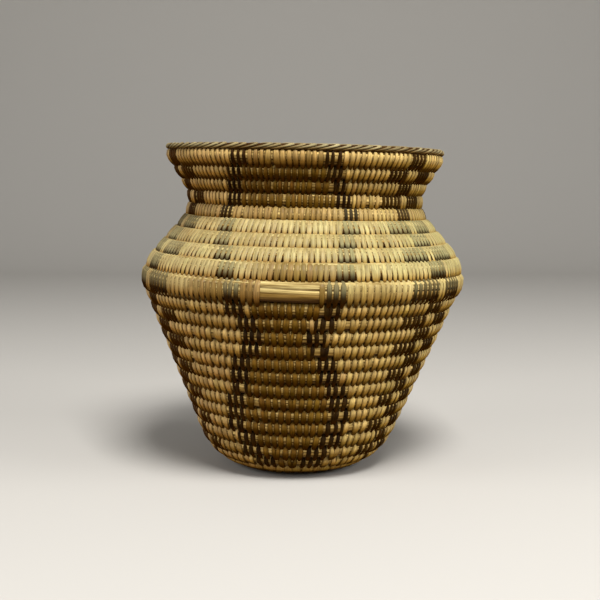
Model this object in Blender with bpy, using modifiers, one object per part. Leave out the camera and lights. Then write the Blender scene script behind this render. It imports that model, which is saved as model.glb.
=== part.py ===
"""A coiled basketry olla: a plaited start knot, a bundle of grass coiled round it in one rising spiral,
dark sewing strips that step over the rounds in zigzags and checks, and an overcast rim.

The coil is one spiral from the knot to the mouth, kept as one object for each round. Its place is given
by turns, counted from the knot, and by how far out along the basket's outline each turn lies.
Metres, +Z up, the front of the basket towards -Y. The origin is the middle of the base, on the floor.
"""

import math

import bmesh
import bpy
import numpy as np
from mathutils import Matrix

# The outline along the middle of the coil: straight runs that would cross at these corners,
# the radius of the bend that rounds each corner, and the most of a run that one bend may take
FOOT_RADIUS = 0.0467
FOOT_BEND = 0.0320
SHOULDER_RADIUS = 0.0942
SHOULDER_HEIGHT = 0.1170
SHOULDER_BEND = 0.0215
NECK_RADIUS = 0.0608
NECK_HEIGHT = 0.1556
NECK_BEND = 0.0220
MOUTH_RADIUS = 0.0792
MOUTH_HEIGHT = 0.1855
BEND_SHARE = 0.48

# How the maker's hand drew the basket out of true: its axis leans to +X, and the mouth dips there
LEAN = math.radians(1.9)
MOUTH_DIP = math.radians(0.4)

# The coil: how far out the base is coiled, how thick the ridge is and how far it lies below the middle of
# the shoulder's bend, and how much fuller the shoulder's rounds are than the neck's. The rounds of the belly
# fill it alike up to the ridge, and those above fill the rest.
BASE_COILED = 0.0409
BASE_ROUNDS = 5
BELLY_ROUNDS = 13
RIDGE_COIL = 0.0111
RIDGE_BELOW_BEND = 0.0042
SHOULDER_ROUNDS = 4
SHOULDER_FULLER = 0.0008
NECK_ROUNDS = 5
KNOT_RADIUS = 0.0055
KNOT_EDGE = 0.0015
RIM_COIL = 0.0042
GAP = 0.0005
FLAT_CUT = 0.0005

# Turns, as parts of a round: where the coil starts thin, its last taper, and the blend between sizes
FIRST_TURN = 0.15
TAPER_TURNS = 5 / 24
TAPER_LEFT = 0.2
BLEND_TURNS = 0.06

# Points on a round of the coil and of the rim, the sides of their section, the least step told apart,
# how near two points are welded, and the angle from which an edge is left sharp
ROUND_POINTS = 24
RIM_POINTS = 48
SECTION_SIDES = 6
ROUNDING = 1e-6
WELD = 0.00001
SHARP = math.radians(35)

# The dark sewing strips: their thickness, how far they stand off the coil, how far up a round's radius
# they cross the valley between two rounds, and the stitches of a round, a zigzag and a check's block
STRIP_THICKNESS = 0.0006
STRIP_CLEARANCE = 0.0004
STRIP_VALLEY = 0.45
ROUND_STITCHES = 144
BAND_STITCHES = 3
CHECK_STITCHES = 4
CHECK_LAP = 1

# The pattern, in stitches right of the front: the three pairs of zigzags and the three check columns,
# and how far the zigzags of a pair lie from its middle at some rounds, counted down from the mouth
PAIR_MIDDLES = {"front": -3, "right": 45, "left": -51}
CHECK_MIDDLES = {"right": 21, "back": 69, "left": -27}
ZIGZAG_ROUNDS = (1, 5, 13, 19, 20, 23)
ZIGZAG_STITCHES = (6, 10, 3, 9, 9, 5)

# Colour and roughness of the sewn coil, the bare bundle, the dark strips and the rim
SEWN = (0.36, 0.22, 0.09), 0.6
BUNDLE = (0.40, 0.27, 0.12), 0.7
DARK = (0.035, 0.025, 0.015), 0.6
RIM = (0.22, 0.16, 0.08), 0.65

WALL_ROUNDS = BELLY_ROUNDS + 1 + SHOULDER_ROUNDS + NECK_ROUNDS
ROUNDS = BASE_ROUNDS + WALL_ROUNDS
RIDGE = BASE_ROUNDS + BELLY_ROUNDS
SECTION_ANGLE = math.pi / SECTION_SIDES
FLAT_OF_RADIUS = math.cos(SECTION_ANGLE)


def make_material(name, colour, roughness):
    material = bpy.data.materials.new(name)
    material.use_nodes = True
    shader = material.node_tree.nodes["Principled BSDF"]
    shader.inputs["Base Color"].default_value = (*colour, 1.0)
    shader.inputs["Roughness"].default_value = roughness
    shader.inputs["Metallic"].default_value = 0.0
    material.diffuse_color = (*colour, 1.0)
    return material


def link(obj, collection, material=None):
    collection.objects.link(obj)
    if material:
        obj.data.materials.append(material)
    return obj


def outline_pieces(base_height):
    """The outline as runs and bends, each with its length, start, heading and curvature."""
    corners = np.array([
        (0.0, base_height),
        (FOOT_RADIUS, base_height),
        (SHOULDER_RADIUS, SHOULDER_HEIGHT),
        (NECK_RADIUS, NECK_HEIGHT),
        (MOUTH_RADIUS, MOUTH_HEIGHT),
    ])
    runs = np.diff(corners, axis=0)
    lengths = np.hypot(*runs.T)
    headings = np.arctan2(runs[:, 1], runs[:, 0])
    turns = np.diff(headings)
    bends = np.array([FOOT_BEND, SHOULDER_BEND, NECK_BEND])
    # A bend is limited by the shorter of the runs that it joins
    setbacks = bends * np.tan(abs(turns) / 2)
    setbacks = np.minimum(setbacks, BEND_SHARE * np.minimum(lengths[:-1], lengths[1:]))
    bends = setbacks / np.tan(abs(turns) / 2)
    before = np.concatenate([[0.0], setbacks])
    after = np.concatenate([setbacks, [0.0]])
    pieces = []
    for i, heading in enumerate(headings):
        along_run = runs[i] / lengths[i]
        straight = lengths[i] - before[i] - after[i]
        pieces.append((straight, corners[i] + before[i] * along_run, heading, 0.0))
        if i < len(turns):
            curvature = math.copysign(1.0 / bends[i], turns[i])
            bend_start = corners[i + 1] - after[i] * along_run
            pieces.append((bends[i] * abs(turns[i]), bend_start, heading, curvature))
    return pieces


def outline_length(pieces):
    return sum(length for length, *_ in pieces)


def shoulder_distance(pieces):
    """How far along the outline the middle of the shoulder's bend lies, past the base, foot and belly."""
    base, foot, belly, shoulder = (length for length, *_ in pieces[:4])
    return base + foot + belly + shoulder / 2


def outline_at(pieces, distance):
    """Radius, height and heading of the outline at each distance along it from the basket's axis."""
    distance = np.asarray(distance, float)
    radius, height, heading = (np.zeros_like(distance) for _ in range(3))
    start = 0.0
    for i, (length, point, first_heading, curvature) in enumerate(pieces):
        last = i == len(pieces) - 1
        inside = (distance >= start) & ((distance < start + length) | last)
        run = distance[inside] - start
        turned = first_heading + curvature * run
        if curvature:
            radius[inside] = point[0] + (np.sin(turned) - math.sin(first_heading)) / curvature
            height[inside] = point[1] - (np.cos(turned) - math.cos(first_heading)) / curvature
        else:
            radius[inside] = point[0] + run * math.cos(first_heading)
            height[inside] = point[1] + run * math.sin(first_heading)
        heading[inside] = turned
        start += length
    return radius, height, heading


class Coil:
    """The spiral: how thick it is and where it lies after any number of turns."""

    def __init__(self):
        self.base_coil = (BASE_COILED - KNOT_RADIUS) / (BASE_ROUNDS - 1)
        base_height = FLAT_OF_RADIUS * self.section_radius(self.base_coil) - FLAT_CUT
        self.pieces = outline_pieces(base_height)
        # The rounds fill the outline as it is at the front, half a turn into each of them
        base_edge = BASE_COILED + self.base_coil / 2
        ridge_middle = shoulder_distance(self.pieces) - RIDGE_BELOW_BEND
        belly = ridge_middle - RIDGE_COIL / 2 - base_edge
        above = outline_length(self.pieces) - ridge_middle - RIDGE_COIL / 2
        neck_coil = (above - SHOULDER_ROUNDS * SHOULDER_FULLER) / (SHOULDER_ROUNDS + NECK_ROUNDS)
        widths = [
            *[self.base_coil] * BASE_ROUNDS,
            *[belly / BELLY_ROUNDS] * BELLY_ROUNDS,
            RIDGE_COIL,
            *[neck_coil + SHOULDER_FULLER] * SHOULDER_ROUNDS,
            *[neck_coil] * NECK_ROUNDS,
        ]
        rounds = np.arange(ROUNDS)
        self.width_turns = np.stack([rounds + BLEND_TURNS, rounds + 1 - BLEND_TURNS], axis=1).ravel()
        self.width_values = np.repeat(widths, 2)

    @staticmethod
    def section_radius(width):
        return (width - GAP) / 2

    def full_width(self, turns):
        """The room that the coil takes along the outline: it grows from nothing over the first round."""
        return np.interp(turns, self.width_turns, self.width_values) * np.minimum(turns, 1.0)

    def width(self, turns):
        """As full_width, but tapering to nothing where the coil ends at the mouth."""
        return self.full_width(turns) * np.clip((ROUNDS - turns) / TAPER_TURNS, 0.0, 1.0)

    def inner_edge(self, turns):
        """How far along the outline the coil begins: on top of all the rounds below it there."""
        turns = np.asarray(turns, float)
        part = turns % 1.0
        edge = np.full_like(turns, KNOT_RADIUS)
        for below in range(ROUNDS):
            edge += np.where(below < np.floor(turns), self.full_width(below + part), 0.0)
        return edge

    def place(self, turns, distance, outward=0.0, onward=0.0):
        """The point at a distance along the outline, and off it outwards or onwards along its heading."""
        radius, height, heading = outline_at(self.pieces, distance)
        radius = radius + outward * np.sin(heading) + onward * np.cos(heading)
        height = height - outward * np.cos(heading) + onward * np.sin(heading)
        # Turns start at the back and run by the right side, the front and the left side
        angle = math.pi * (1 - 2 * np.asarray(turns))
        x = radius * np.sin(angle)
        y = -radius * np.cos(angle)
        dipped = height * (1 - x / MOUTH_HEIGHT * math.tan(MOUTH_DIP))
        return np.stack([x + height * math.tan(LEAN), y, dipped], axis=-1), heading

    def middle(self, turns):
        """Place, heading and section radius of the coil's middle."""
        width = self.width(turns)
        points, heading = self.place(turns, self.inner_edge(turns) + width / 2)
        return points, heading, self.section_radius(width)


def stations_around(turns):
    """The two points of the coil that turns lie between, and the share of the way to the second.

    A round has its points half a step off its ends, so that two rounds meet square, midway along a side.
    """
    before = (math.floor(turns * ROUND_POINTS - 0.5 + ROUNDING) + 0.5) / ROUND_POINTS
    return np.array([before, before + 1 / ROUND_POINTS]), (turns - before) * ROUND_POINTS


def tube(name, points, radii, headings, cyclic=False):
    """A curve through the points, with a corner of its section turned towards the next round."""
    curve = bpy.data.curves.new(name, "CURVE")
    curve.dimensions = "3D"
    curve.twist_mode = "Z_UP"
    curve.bevel_depth = 1.0
    curve.bevel_resolution = (SECTION_SIDES - 4) // 2
    curve.use_fill_caps = not cyclic
    spline = curve.splines.new("POLY")
    spline.points.add(len(points) - 1)
    spline.use_cyclic_u = cyclic
    for point, place, radius, heading in zip(spline.points, points, radii, headings):
        point.co = (*place, 1.0)
        point.radius = radius
        point.tilt = heading
    return bpy.data.objects.new(name, curve)


def mesh_of(obj):
    """What the object looks like with its curve or modifiers worked out."""
    bpy.context.view_layer.update()
    return bpy.data.meshes.new_from_object(obj.evaluated_get(bpy.context.evaluated_depsgraph_get()))


def curve_to_mesh(obj, collection):
    """The curve's solid as a mesh object, its caps welded to its sides."""
    mesh = mesh_of(obj)
    soft = bmesh.new()
    soft.from_mesh(mesh)
    bmesh.ops.remove_doubles(soft, verts=soft.verts, dist=WELD)
    soft.to_mesh(mesh)
    soft.free()
    name = obj.name
    place = obj.matrix_world.copy()
    bpy.data.objects.remove(obj)
    solid = link(bpy.data.objects.new(name, mesh), collection)
    solid.matrix_world = place
    return solid


def make_round(name, first, last, coil, collection, material):
    """One round of the coil, from its first turn to its last, with half a gap left at each cut end."""
    steps = np.arange(math.ceil(first * ROUND_POINTS), math.ceil(last * ROUND_POINTS)) + 0.5
    stations = steps[(steps > first * ROUND_POINTS) & (steps < last * ROUND_POINTS)] / ROUND_POINTS
    points, headings, radii = coil.middle(stations)
    ends = []
    for end, inwards in ((first, 1), (last, -1)):
        around, share = stations_around(end)
        near, near_heading, near_radius = coil.middle(around)
        side = near[1] - near[0]
        share += inwards * GAP / 2 / np.linalg.norm(side)
        end_heading, end_radius = (v[0] + share * (v[1] - v[0]) for v in (near_heading, near_radius))
        ends.append((near[0] + share * side, end_heading, end_radius))
    points, headings, radii = (
        np.concatenate([[ends[0][k]], between, [ends[1][k]]])
        for k, between in enumerate((points, headings, radii))
    )
    centre = points.mean(axis=0)
    obj = link(tube(name, points - centre, radii, headings), collection, material)
    obj.location = centre
    return obj


def floor_cutter(collection):
    """All that lies under the floor, for the flat on the base."""
    reach = SHOULDER_RADIUS
    box = bmesh.new()
    bmesh.ops.create_cube(box, size=1.0)
    below = Matrix.Translation((0, 0, -reach / 2)) @ Matrix.Diagonal((2 * reach, 2 * reach, reach, 1))
    bmesh.ops.transform(box, matrix=below, verts=box.verts)
    mesh = bpy.data.meshes.new("floor_cutter")
    box.to_mesh(mesh)
    box.free()
    cutter = link(bpy.data.objects.new("floor_cutter", mesh), collection)
    cutter.hide_render = True
    cutter.display_type = "WIRE"
    return cutter


def cut_flat(obj, cutter):
    cut = obj.modifiers.new("flat_on_the_floor", "BOOLEAN")
    cut.operation = "DIFFERENCE"
    cut.solver = "EXACT"
    cut.object = cutter


def make_base(coil, collection, cutter, material):
    """The base's rounds, and the points of their tubes before the floor's cut."""
    surfaces = []
    for i in range(BASE_ROUNDS):
        first = max(i, FIRST_TURN)
        obj = make_round(f"base_coil_{i + 1}", first, i + 1, coil, collection, material)
        surfaces.append(surface_points(obj))
        obj = curve_to_mesh(obj, collection)
        cut_flat(obj, cutter)
        obj.data.set_sharp_from_angle(angle=SHARP)
    return surfaces


def make_wall(coil, collection, material, ridge_material):
    """The wall's rounds, and the points of their tubes."""
    surfaces = []
    for i in range(WALL_ROUNDS):
        first = BASE_ROUNDS + i
        last = first + 1 - (TAPER_LEFT * TAPER_TURNS if i == WALL_ROUNDS - 1 else 0.0)
        finish = ridge_material if first == RIDGE else material
        obj = make_round(f"wall_coil_{i + 1:02d}", first, last, coil, collection, finish)
        surfaces.append(surface_points(obj))
    return surfaces


def make_knot(coil, collection, material):
    """The plaited start, drawn up tight: a thick button with a flat underside."""
    height = FLAT_OF_RADIUS * 2 * Coil.section_radius(coil.base_coil) - FLAT_CUT
    button = bmesh.new()
    radius = KNOT_RADIUS - GAP
    bmesh.ops.create_cone(
        button, cap_ends=True, segments=ROUND_POINTS, radius1=radius, radius2=radius, depth=height
    )
    mesh = bpy.data.meshes.new("start_knot")
    button.to_mesh(mesh)
    button.free()
    obj = link(bpy.data.objects.new("start_knot", mesh), collection, material)
    obj.location.z = height / 2
    edge = obj.modifiers.new("worn_edge", "BEVEL")
    edge.width = KNOT_EDGE
    edge.segments = 2
    edge.limit_method = "ANGLE"
    mesh.shade_smooth()


def make_rim(coil, collection, material):
    """The overcast edge, a closed ring that sits on the last round and comes down its taper."""
    turns = ROUNDS - 1 + np.arange(RIM_POINTS) / RIM_POINTS
    seat = coil.inner_edge(turns) + coil.width(turns)
    radius = np.full(RIM_POINTS, RIM_COIL / 2)
    points, headings = coil.place(turns, seat + GAP / 2 + radius)
    centre = points.mean(axis=0)
    obj = link(tube("rim_overcast", points - centre, radius, headings, cyclic=True), collection, material)
    obj.location = centre


def strip_point(coil, turns, side):
    """A point of a strip's inner face: on a round's lower or upper flat edge, or in the valley under it.

    Between two points of the coil the strip runs straight, as the coil does.
    """
    stations, share = stations_around(turns)
    width = coil.full_width(stations)
    radius = Coil.section_radius(width)
    edge = coil.inner_edge(stations)
    if side == "valley":
        radius = np.maximum(radius, Coil.section_radius(coil.full_width(stations - 1)))
        points, _ = coil.place(stations, edge, STRIP_VALLEY * radius + STRIP_CLEARANCE)
    else:
        onward = radius * math.sin(SECTION_ANGLE) * (1 if side == "upper" else -1)
        points, _ = coil.place(stations, edge + width / 2, radius * FLAT_OF_RADIUS + STRIP_CLEARANCE, onward)
    return points[0] * (1 - share) + points[1] * share


def cuts_of(run, row_start):
    """Where a run of stitches is cut, in steps of a stitch along the coil: its ends and the coil's points."""
    # Turns run from the right side to the left, so a stitch further right is an earlier step
    first, last = (row_start + ROUND_STITCHES // 2 - stitch for stitch in reversed(run))
    point_steps = ROUND_STITCHES // ROUND_POINTS
    inside = [step for step in range(first + 1, last) if step % point_steps == point_steps // 2]
    return [first, *inside, last]


def make_strips(name, runs_of, coil, collection, material):
    """The dark strips of one band: an open skin over its stitches, thickened outwards.

    runs_of gives the dark runs of a wall round, counted down from the mouth, in stitches right of the front.
    Where a run lies above another, they share their points in the valley between them.
    """
    rows = []
    for i in range(WALL_ROUNDS):
        row_start = (BASE_ROUNDS + i) * ROUND_STITCHES
        rows.append([cuts_of(run, row_start) for run in runs_of(WALL_ROUNDS - i)])
    valleys = {step for row in rows for cuts in row for step in cuts}
    valleys |= {step + ROUND_STITCHES for row in rows[:-1] for cuts in row for step in cuts}

    skin = bmesh.new()
    corners = {}

    def edge(first, last, side):
        """The points along one edge of a face, from its first step to its last."""
        between = [step for step in range(first + 1, last) if side == "valley" and step in valleys]
        line = []
        for step in (first, *between, last):
            if (step, side) not in corners:
                place = strip_point(coil, step / ROUND_STITCHES, side)
                corners[step, side] = skin.verts.new(place)
            line.append(corners[step, side])
        return line

    for i, row in enumerate(rows):
        for cuts in row:
            for first, last in zip(cuts, cuts[1:]):
                lines = [edge(first, last, side) for side in ("valley", "lower", "upper")]
                if i < WALL_ROUNDS - 1:
                    lines.append(edge(first + ROUND_STITCHES, last + ROUND_STITCHES, "valley"))
                for low, high in zip(lines, lines[1:]):
                    skin.faces.new((*reversed(low), *high))
    mesh = bpy.data.meshes.new(name)
    skin.to_mesh(mesh)
    skin.free()
    obj = link(bpy.data.objects.new(name, mesh), collection, material)
    thick = obj.modifiers.new("strip", "SOLIDIFY")
    thick.thickness = STRIP_THICKNESS
    thick.offset = 1.0


def zigzag_runs(middle, side):
    """The run of one zigzag in each round, stepping between its turning rounds."""
    def runs_of(row):
        away = round(np.interp(row, ZIGZAG_ROUNDS, ZIGZAG_STITCHES))
        first = middle + (away if side == "right" else -away - BAND_STITCHES)
        return [(first, first + BAND_STITCHES)]
    return runs_of


def check_runs(middle):
    """The runs of a check: by turns a middle block and two outer ones, which lap under its ends."""
    first = middle - CHECK_STITCHES // 2
    last = first + CHECK_STITCHES

    def runs_of(row):
        if row % 2:
            return [(first, last)]
        return [(first - CHECK_STITCHES, first + CHECK_LAP), (last - CHECK_LAP, last + CHECK_STITCHES)]
    return runs_of


def surface_points(obj):
    """The points of a tube's sides, which follow those of its caps: one row for each point of its path."""
    mesh = mesh_of(obj)
    rings = len(obj.data.splines[0].points)
    places = np.array([obj.location + vertex.co for vertex in mesh.vertices])
    bpy.data.meshes.remove(mesh)
    return places[-rings * SECTION_SIDES:].reshape(rings, SECTION_SIDES, 3)


def least_gap(surface, other, rings_apart=0):
    """The least distance from a point of one surface to a point of another, or of its own further round."""
    gaps = np.linalg.norm(surface[:, None, :, None] - other[None, :, None, :], axis=-1).min(axis=(2, 3))
    apart = abs(np.subtract.outer(np.arange(len(surface)), np.arange(len(other)))) >= rings_apart
    return gaps[apart].min(initial=math.inf)


def main():
    for old in list(bpy.data.objects):
        bpy.data.objects.remove(old)
    basket = bpy.data.collections.new("basketry_olla")
    cutters = bpy.data.collections.new("cutters")
    bpy.context.scene.collection.children.link(basket)
    bpy.context.scene.collection.children.link(cutters)

    sewn = make_material("sewn_coil", *SEWN)
    bundle = make_material("bare_bundle", *BUNDLE)
    dark = make_material("dark_strip", *DARK)
    rim = make_material("rim_strip", *RIM)

    coil = Coil()
    make_knot(coil, basket, bundle)
    surfaces = make_base(coil, basket, floor_cutter(cutters), sewn)
    surfaces += make_wall(coil, basket, sewn, bundle)
    make_rim(coil, basket, rim)
    for place, middle in PAIR_MIDDLES.items():
        for side in ("left", "right"):
            make_strips(f"{place}_zigzag_{side}", zigzag_runs(middle, side), coil, basket, dark)
    for place, middle in CHECK_MIDDLES.items():
        make_strips(f"{place}_checks", check_runs(middle), coil, basket, dark)

    gaps = {
        "a round to itself": min(least_gap(surface, surface, ROUND_POINTS // 2) for surface in surfaces),
        "a round to the next": min(least_gap(lower, upper) for lower, upper in zip(surfaces, surfaces[1:])),
    }
    for between, gap in gaps.items():
        print(f"least gap of {between} {gap * 1000:.2f} mm")


main()
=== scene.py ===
"""The finish of a coiled basketry olla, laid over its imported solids.

A bundle of grass stems spirals up from a plaited knot. Strips of split leaf are wrapped round it one after
the other, each caught in the top of the round below, pale for the ground and dark for the pattern.
Metres, +Z up, the front towards -Y. Turns are counted along the coil from the knot: each starts at the back
and runs by the right side, the front and the left side. Rounds of the wall are counted down from the mouth.
"""
import math

import bpy
import numpy as np
from bpy.props import FloatProperty, FloatVectorProperty, IntProperty, PointerProperty
from mathutils import Euler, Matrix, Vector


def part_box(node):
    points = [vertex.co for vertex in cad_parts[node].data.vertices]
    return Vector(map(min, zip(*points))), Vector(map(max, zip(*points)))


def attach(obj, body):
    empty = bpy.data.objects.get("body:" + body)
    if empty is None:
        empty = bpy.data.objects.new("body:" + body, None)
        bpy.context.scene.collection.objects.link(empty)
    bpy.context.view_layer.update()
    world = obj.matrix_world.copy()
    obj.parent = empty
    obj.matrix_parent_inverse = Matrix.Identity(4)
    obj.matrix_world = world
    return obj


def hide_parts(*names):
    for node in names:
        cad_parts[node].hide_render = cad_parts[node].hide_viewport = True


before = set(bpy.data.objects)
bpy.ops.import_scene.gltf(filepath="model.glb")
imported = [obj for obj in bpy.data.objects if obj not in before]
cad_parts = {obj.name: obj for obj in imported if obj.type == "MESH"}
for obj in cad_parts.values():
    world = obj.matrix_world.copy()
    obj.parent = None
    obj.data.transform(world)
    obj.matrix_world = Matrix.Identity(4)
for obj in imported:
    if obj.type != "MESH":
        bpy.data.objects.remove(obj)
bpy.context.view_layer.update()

bl_info = {
    "name": "Coiled Basketry Olla",
    "version": (1, 0, 0),
    "blender": (4, 5, 0),
    "location": "3D View > Sidebar > Olla",
    "description": "Coils, sews and overcasts a basketry olla over its solids",
    "category": "Add Mesh",
}

# The outline along the middle of the coil, as the solids have it: radius and height at the base's middle,
# the foot, the shoulder, the neck and the mouth, where its runs would cross, the radius of the bend at the
# three between, and the most of a run that one bend may take
COIL_MIDDLE_HEIGHT = 0.00311
MOUTH_RADIUS = 0.0792
MOUTH_HEIGHT = 0.1855
CORNERS = np.array((
    (0.0, COIL_MIDDLE_HEIGHT), (0.0467, COIL_MIDDLE_HEIGHT), (0.0942, 0.1170), (0.0608, 0.1556),
    (MOUTH_RADIUS, MOUTH_HEIGHT),
))
BENDS = np.array((0.0320, 0.0215, 0.0220))
BEND_SHARE = 0.48

# How the basket stands out of true, as the solids do
LEAN = math.radians(1.9)
MOUTH_DIP = math.radians(0.4)

# The coil, as the solids have it
BASE_COILED = 0.0409
BASE_ROUNDS = 5
BELLY_ROUNDS = 13
RIDGE_COIL = 0.0111
RIDGE_BELOW_BEND = 0.0042
SHOULDER_ROUNDS = 4
SHOULDER_FULLER = 0.0008
NECK_ROUNDS = 5
KNOT_RADIUS = 0.0055
RIM_COIL = 0.0042
FIRST_TURN = 0.15
TAPER_TURNS = 5 / 24
TAPER_LEFT = 0.2
BLEND_TURNS = 0.06
WALL_ROUNDS = BELLY_ROUNDS + 1 + SHOULDER_ROUNDS + NECK_ROUNDS
ROUNDS = BASE_ROUNDS + WALL_ROUNDS
RIDGE_ROUND = NECK_ROUNDS + SHOULDER_ROUNDS + 1
COIL_END = ROUNDS - TAPER_LEFT * TAPER_TURNS

# The pattern, as the solids have it, in steps of 2.5 degrees to the right of the front
STEPS = 144
BAND_STRIPS = 3
BAND_STEPS = 3
CHECK_STEPS = 4
CHECK_LAP = 1
PAIR_MIDDLES = {"front": -3, "right": 45, "left": -51}
CHECK_MIDDLES = {"right": 21, "back": 69, "left": -27}
ZIGZAG_ROUNDS = (1, 5, 13, 19, 20, 23)
ZIGZAG_STEPS = (6, 10, 3, 9, 9, 5)

# How far the sewn pattern has wandered to the right of those, in steps, and how brown its checks are
DRIFT_ROUNDS = (1, 6, 9, 12, 23)
DRIFT_STEPS = (-0.6, -0.4, 0.3, 0.5, 0.4)
CHECK_BROWN = {"right": 0.4, "back": 0.6, "left": 0.9}

# How tall the bundle is against its room, what that gains where it is bleached and below the rim, how
# much less snug it is where it is bleached, and its least radius
LAP = 1.08
BLEACHED_LAP = 0.06
RIM_LAP = 0.16
LESS_SNUG = 0.45
LEAST_RADIUS = 0.0002

# How far apart the strips are along the coil, from the mouth down and on to the base, in metres
PITCH_ROUNDS = (1, 2, 4, 5, 6, 9, 10, 16, 23)
PITCHES = (0.0034, 0.0031, 0.0031, 0.0030, 0.0032, 0.0032, 0.00375, 0.00385, 0.0042)

# How unevenly they are sewn: the least and most room of a strip in pitches, and the spread of their places
# in pitches, of their widths, thicknesses and slants as parts of each, and of their tones
ROOM = (0.65, 1.55)
SPREAD = {"place": 0.07, "width": 0.05, "thickness": 0.12, "tone": 0.12}
RIM_SPREAD = {"width": 0.12, "thickness": 0.1, "slant": 0.06}

# How much more even they are in four ways where they are bleached, and how much yellower the leaf is on the
# right: painted light, for the brighter light on that side
EVENER = {"place": 0.6, "shade": 0.6, "foot": 0.5, "point": 0.2}
YELLOWER = 0.3

# The turn from which a strip's foot chooses a gap in the round below
FEET_FROM = 1.2

# The ridge's bare stretch in front, the one strip left on it, and the broad strip above it, in steps
BARE_STEPS = (-5.6, 3.4)
STRIP_LEFT_AT = 2.1
STRIP_LEFT = {"width": 0.8, "thickness": 0.4, "brown": 0.8}
BROAD_ROUND = 9
BROAD_AT = 9.5
BROAD_BY = 1.8

# The strips of the base's last round against the others, which make it a smooth edge
EDGE = {"width": 1.4, "thickness": 0.4, "shade": 0.4}

# How bleached the strips are at some rounds, from 0 to 1, and the rounds where they are browner
BLEACH_ROUNDS = (1, 4, 5, 6, 9, 10, 11, 23)
# Round 5 is less bleached partly as painted shadow of the neck
BLEACH = (0.12, 0.05, 0.3, 1.0, 1.0, 0.8, 0.15, 0.05)
BROWN_ROUNDS = ((1, 4), (11, 23))
MOUTH_BROWN = 0.5

# How far apart the changes of leaf are, in strips, and how much browner some leaves are
BATCH_STRIPS = 23
BATCH_BROWN = 0.35

# Brown marks on the strips, and some painted shade: the round, the middle and half width in steps, and how
# brown. A mark is gone at this many half widths from its middle.
MARK_FADES = 1.5
MARKS = (
    # The mark at -26 steps on round 10 is partly painted shade, where the light falls off to the left, and
    # partly less bleached leaf
    (10, -10.0, 6.0, 0.75), (9, -0.8, 5.0, 0.75), (10, 8.0, 5.0, 0.3), (10, -26.0, 9.0, 0.35),
    # Painted shadow: the marks all round rounds 5 and 6 stand for the neck's shadow on them
    (5, -3.0, 10.0, 0.65), (5, 0.0, 72.0, 0.35), (6, 0.0, 72.0, 0.06),
)

SEED = 11


def linear(hex_colour):
    """An sRGB hex colour as linear red, green and blue."""
    values = [int(hex_colour[i:i + 2], 16) / 255 for i in (1, 3, 5)]
    return tuple(v / 12.92 if v <= 0.04045 else ((v + 0.055) / 1.055) ** 2.4 for v in values)


def amount(name, description, default, low=0.0, high=1.0, **kind):
    """A number in the sidebar, a part of a whole if it has no limits of its own."""
    return FloatProperty(name=name, description=description, default=default, min=low, max=high, **kind)


def size(name, description, default, low=0.0, high=0.02):
    """A length in the sidebar, in metres."""
    return amount(name, description, default, low, high, subtype="DISTANCE", unit="LENGTH", precision=5)


def colour(name, description, hex_colour):
    """A colour in the sidebar."""
    return FloatVectorProperty(
        name=name, description=description, default=linear(hex_colour), min=0.0, max=1.0, size=3,
        subtype="COLOR",
    )


class OllaSewing(bpy.types.PropertyGroup):
    """Sizes of the bundle and of the strips sewn round it."""

    strip_thickness: size("Strip thickness", "Height of a strip's crown over the bundle", 0.0006)
    strip_edge: size("Strip edge", "Height of a strip's edges over the bundle", 0.00005)
    strip_share: amount("Strip share", "Part of the pitch that a pale strip covers", 0.90)
    brown_share: amount("Brown share", "Part of the pitch that a brown strip covers", 0.80)
    dark_share: amount("Dark share", "Part of the pitch that a dark strip covers", 0.64)
    dark_wider: amount("Wider dark strips", "What that part gains where most bleached", 0.14)
    strip_lean: size("Lean", "How far left of its top a strip's foot lies, from outside", 0.0004, -0.003)
    settle: amount("Settle", "How far a strip moves towards the nearest gap below", 0.5)
    foot_choice: amount("Foot choice", "How far a strip's foot leans over to that gap from there", 0.85)
    strip_bite: size("Bite", "How deep a strip reaches into the round below", 0.0019)
    foot_out: size("Foot out", "How far outside the coil's middle a strip enters the round below", 0.0018)
    flatter: amount("Flatter shoulder", "How much thinner the most bleached strips are", 0.55)
    strip_point: amount("Pointed feet", "How much narrower a strip is at its foot", 0.5)
    snug: size("Snug", "How far the bundle stays inside the coil's own edge", 0.00045)
    flatness: amount("Flatness", "How far the coil stands out, as a part of its height", 0.93)
    squareness: amount("Squareness", "Power of the section: 2 is round, more is fuller", 2.5, 1.5, 6.0)
    shoulder_squareness: amount("Shoulder squareness", "The same on the bleached shoulder", 3.2, 1.5, 6.0)
    stems: IntProperty(name="Stems", description="Grass stems round the bundle", default=14, min=6, max=60)
    stem_depth: size("Stem depth", "Depth of the deepest grooves between stems", 0.0006)
    rim_pitch: size("Rim pitch", "Distance between the rim's strips", 0.0060, 0.002)
    rim_share: amount("Rim share", "Part of its pitch that a rim strip covers", 0.88)
    rim_slant: size("Rim slant", "How far a rim strip runs sideways on its way over", 0.0130)
    rim_radius: size("Rim radius", "Half the height of the rim with its strips", 0.00178, 0.001)
    rim_thickness: size("Rim thickness", "Height of a rim strip's crown over its core", 0.0006)


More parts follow.
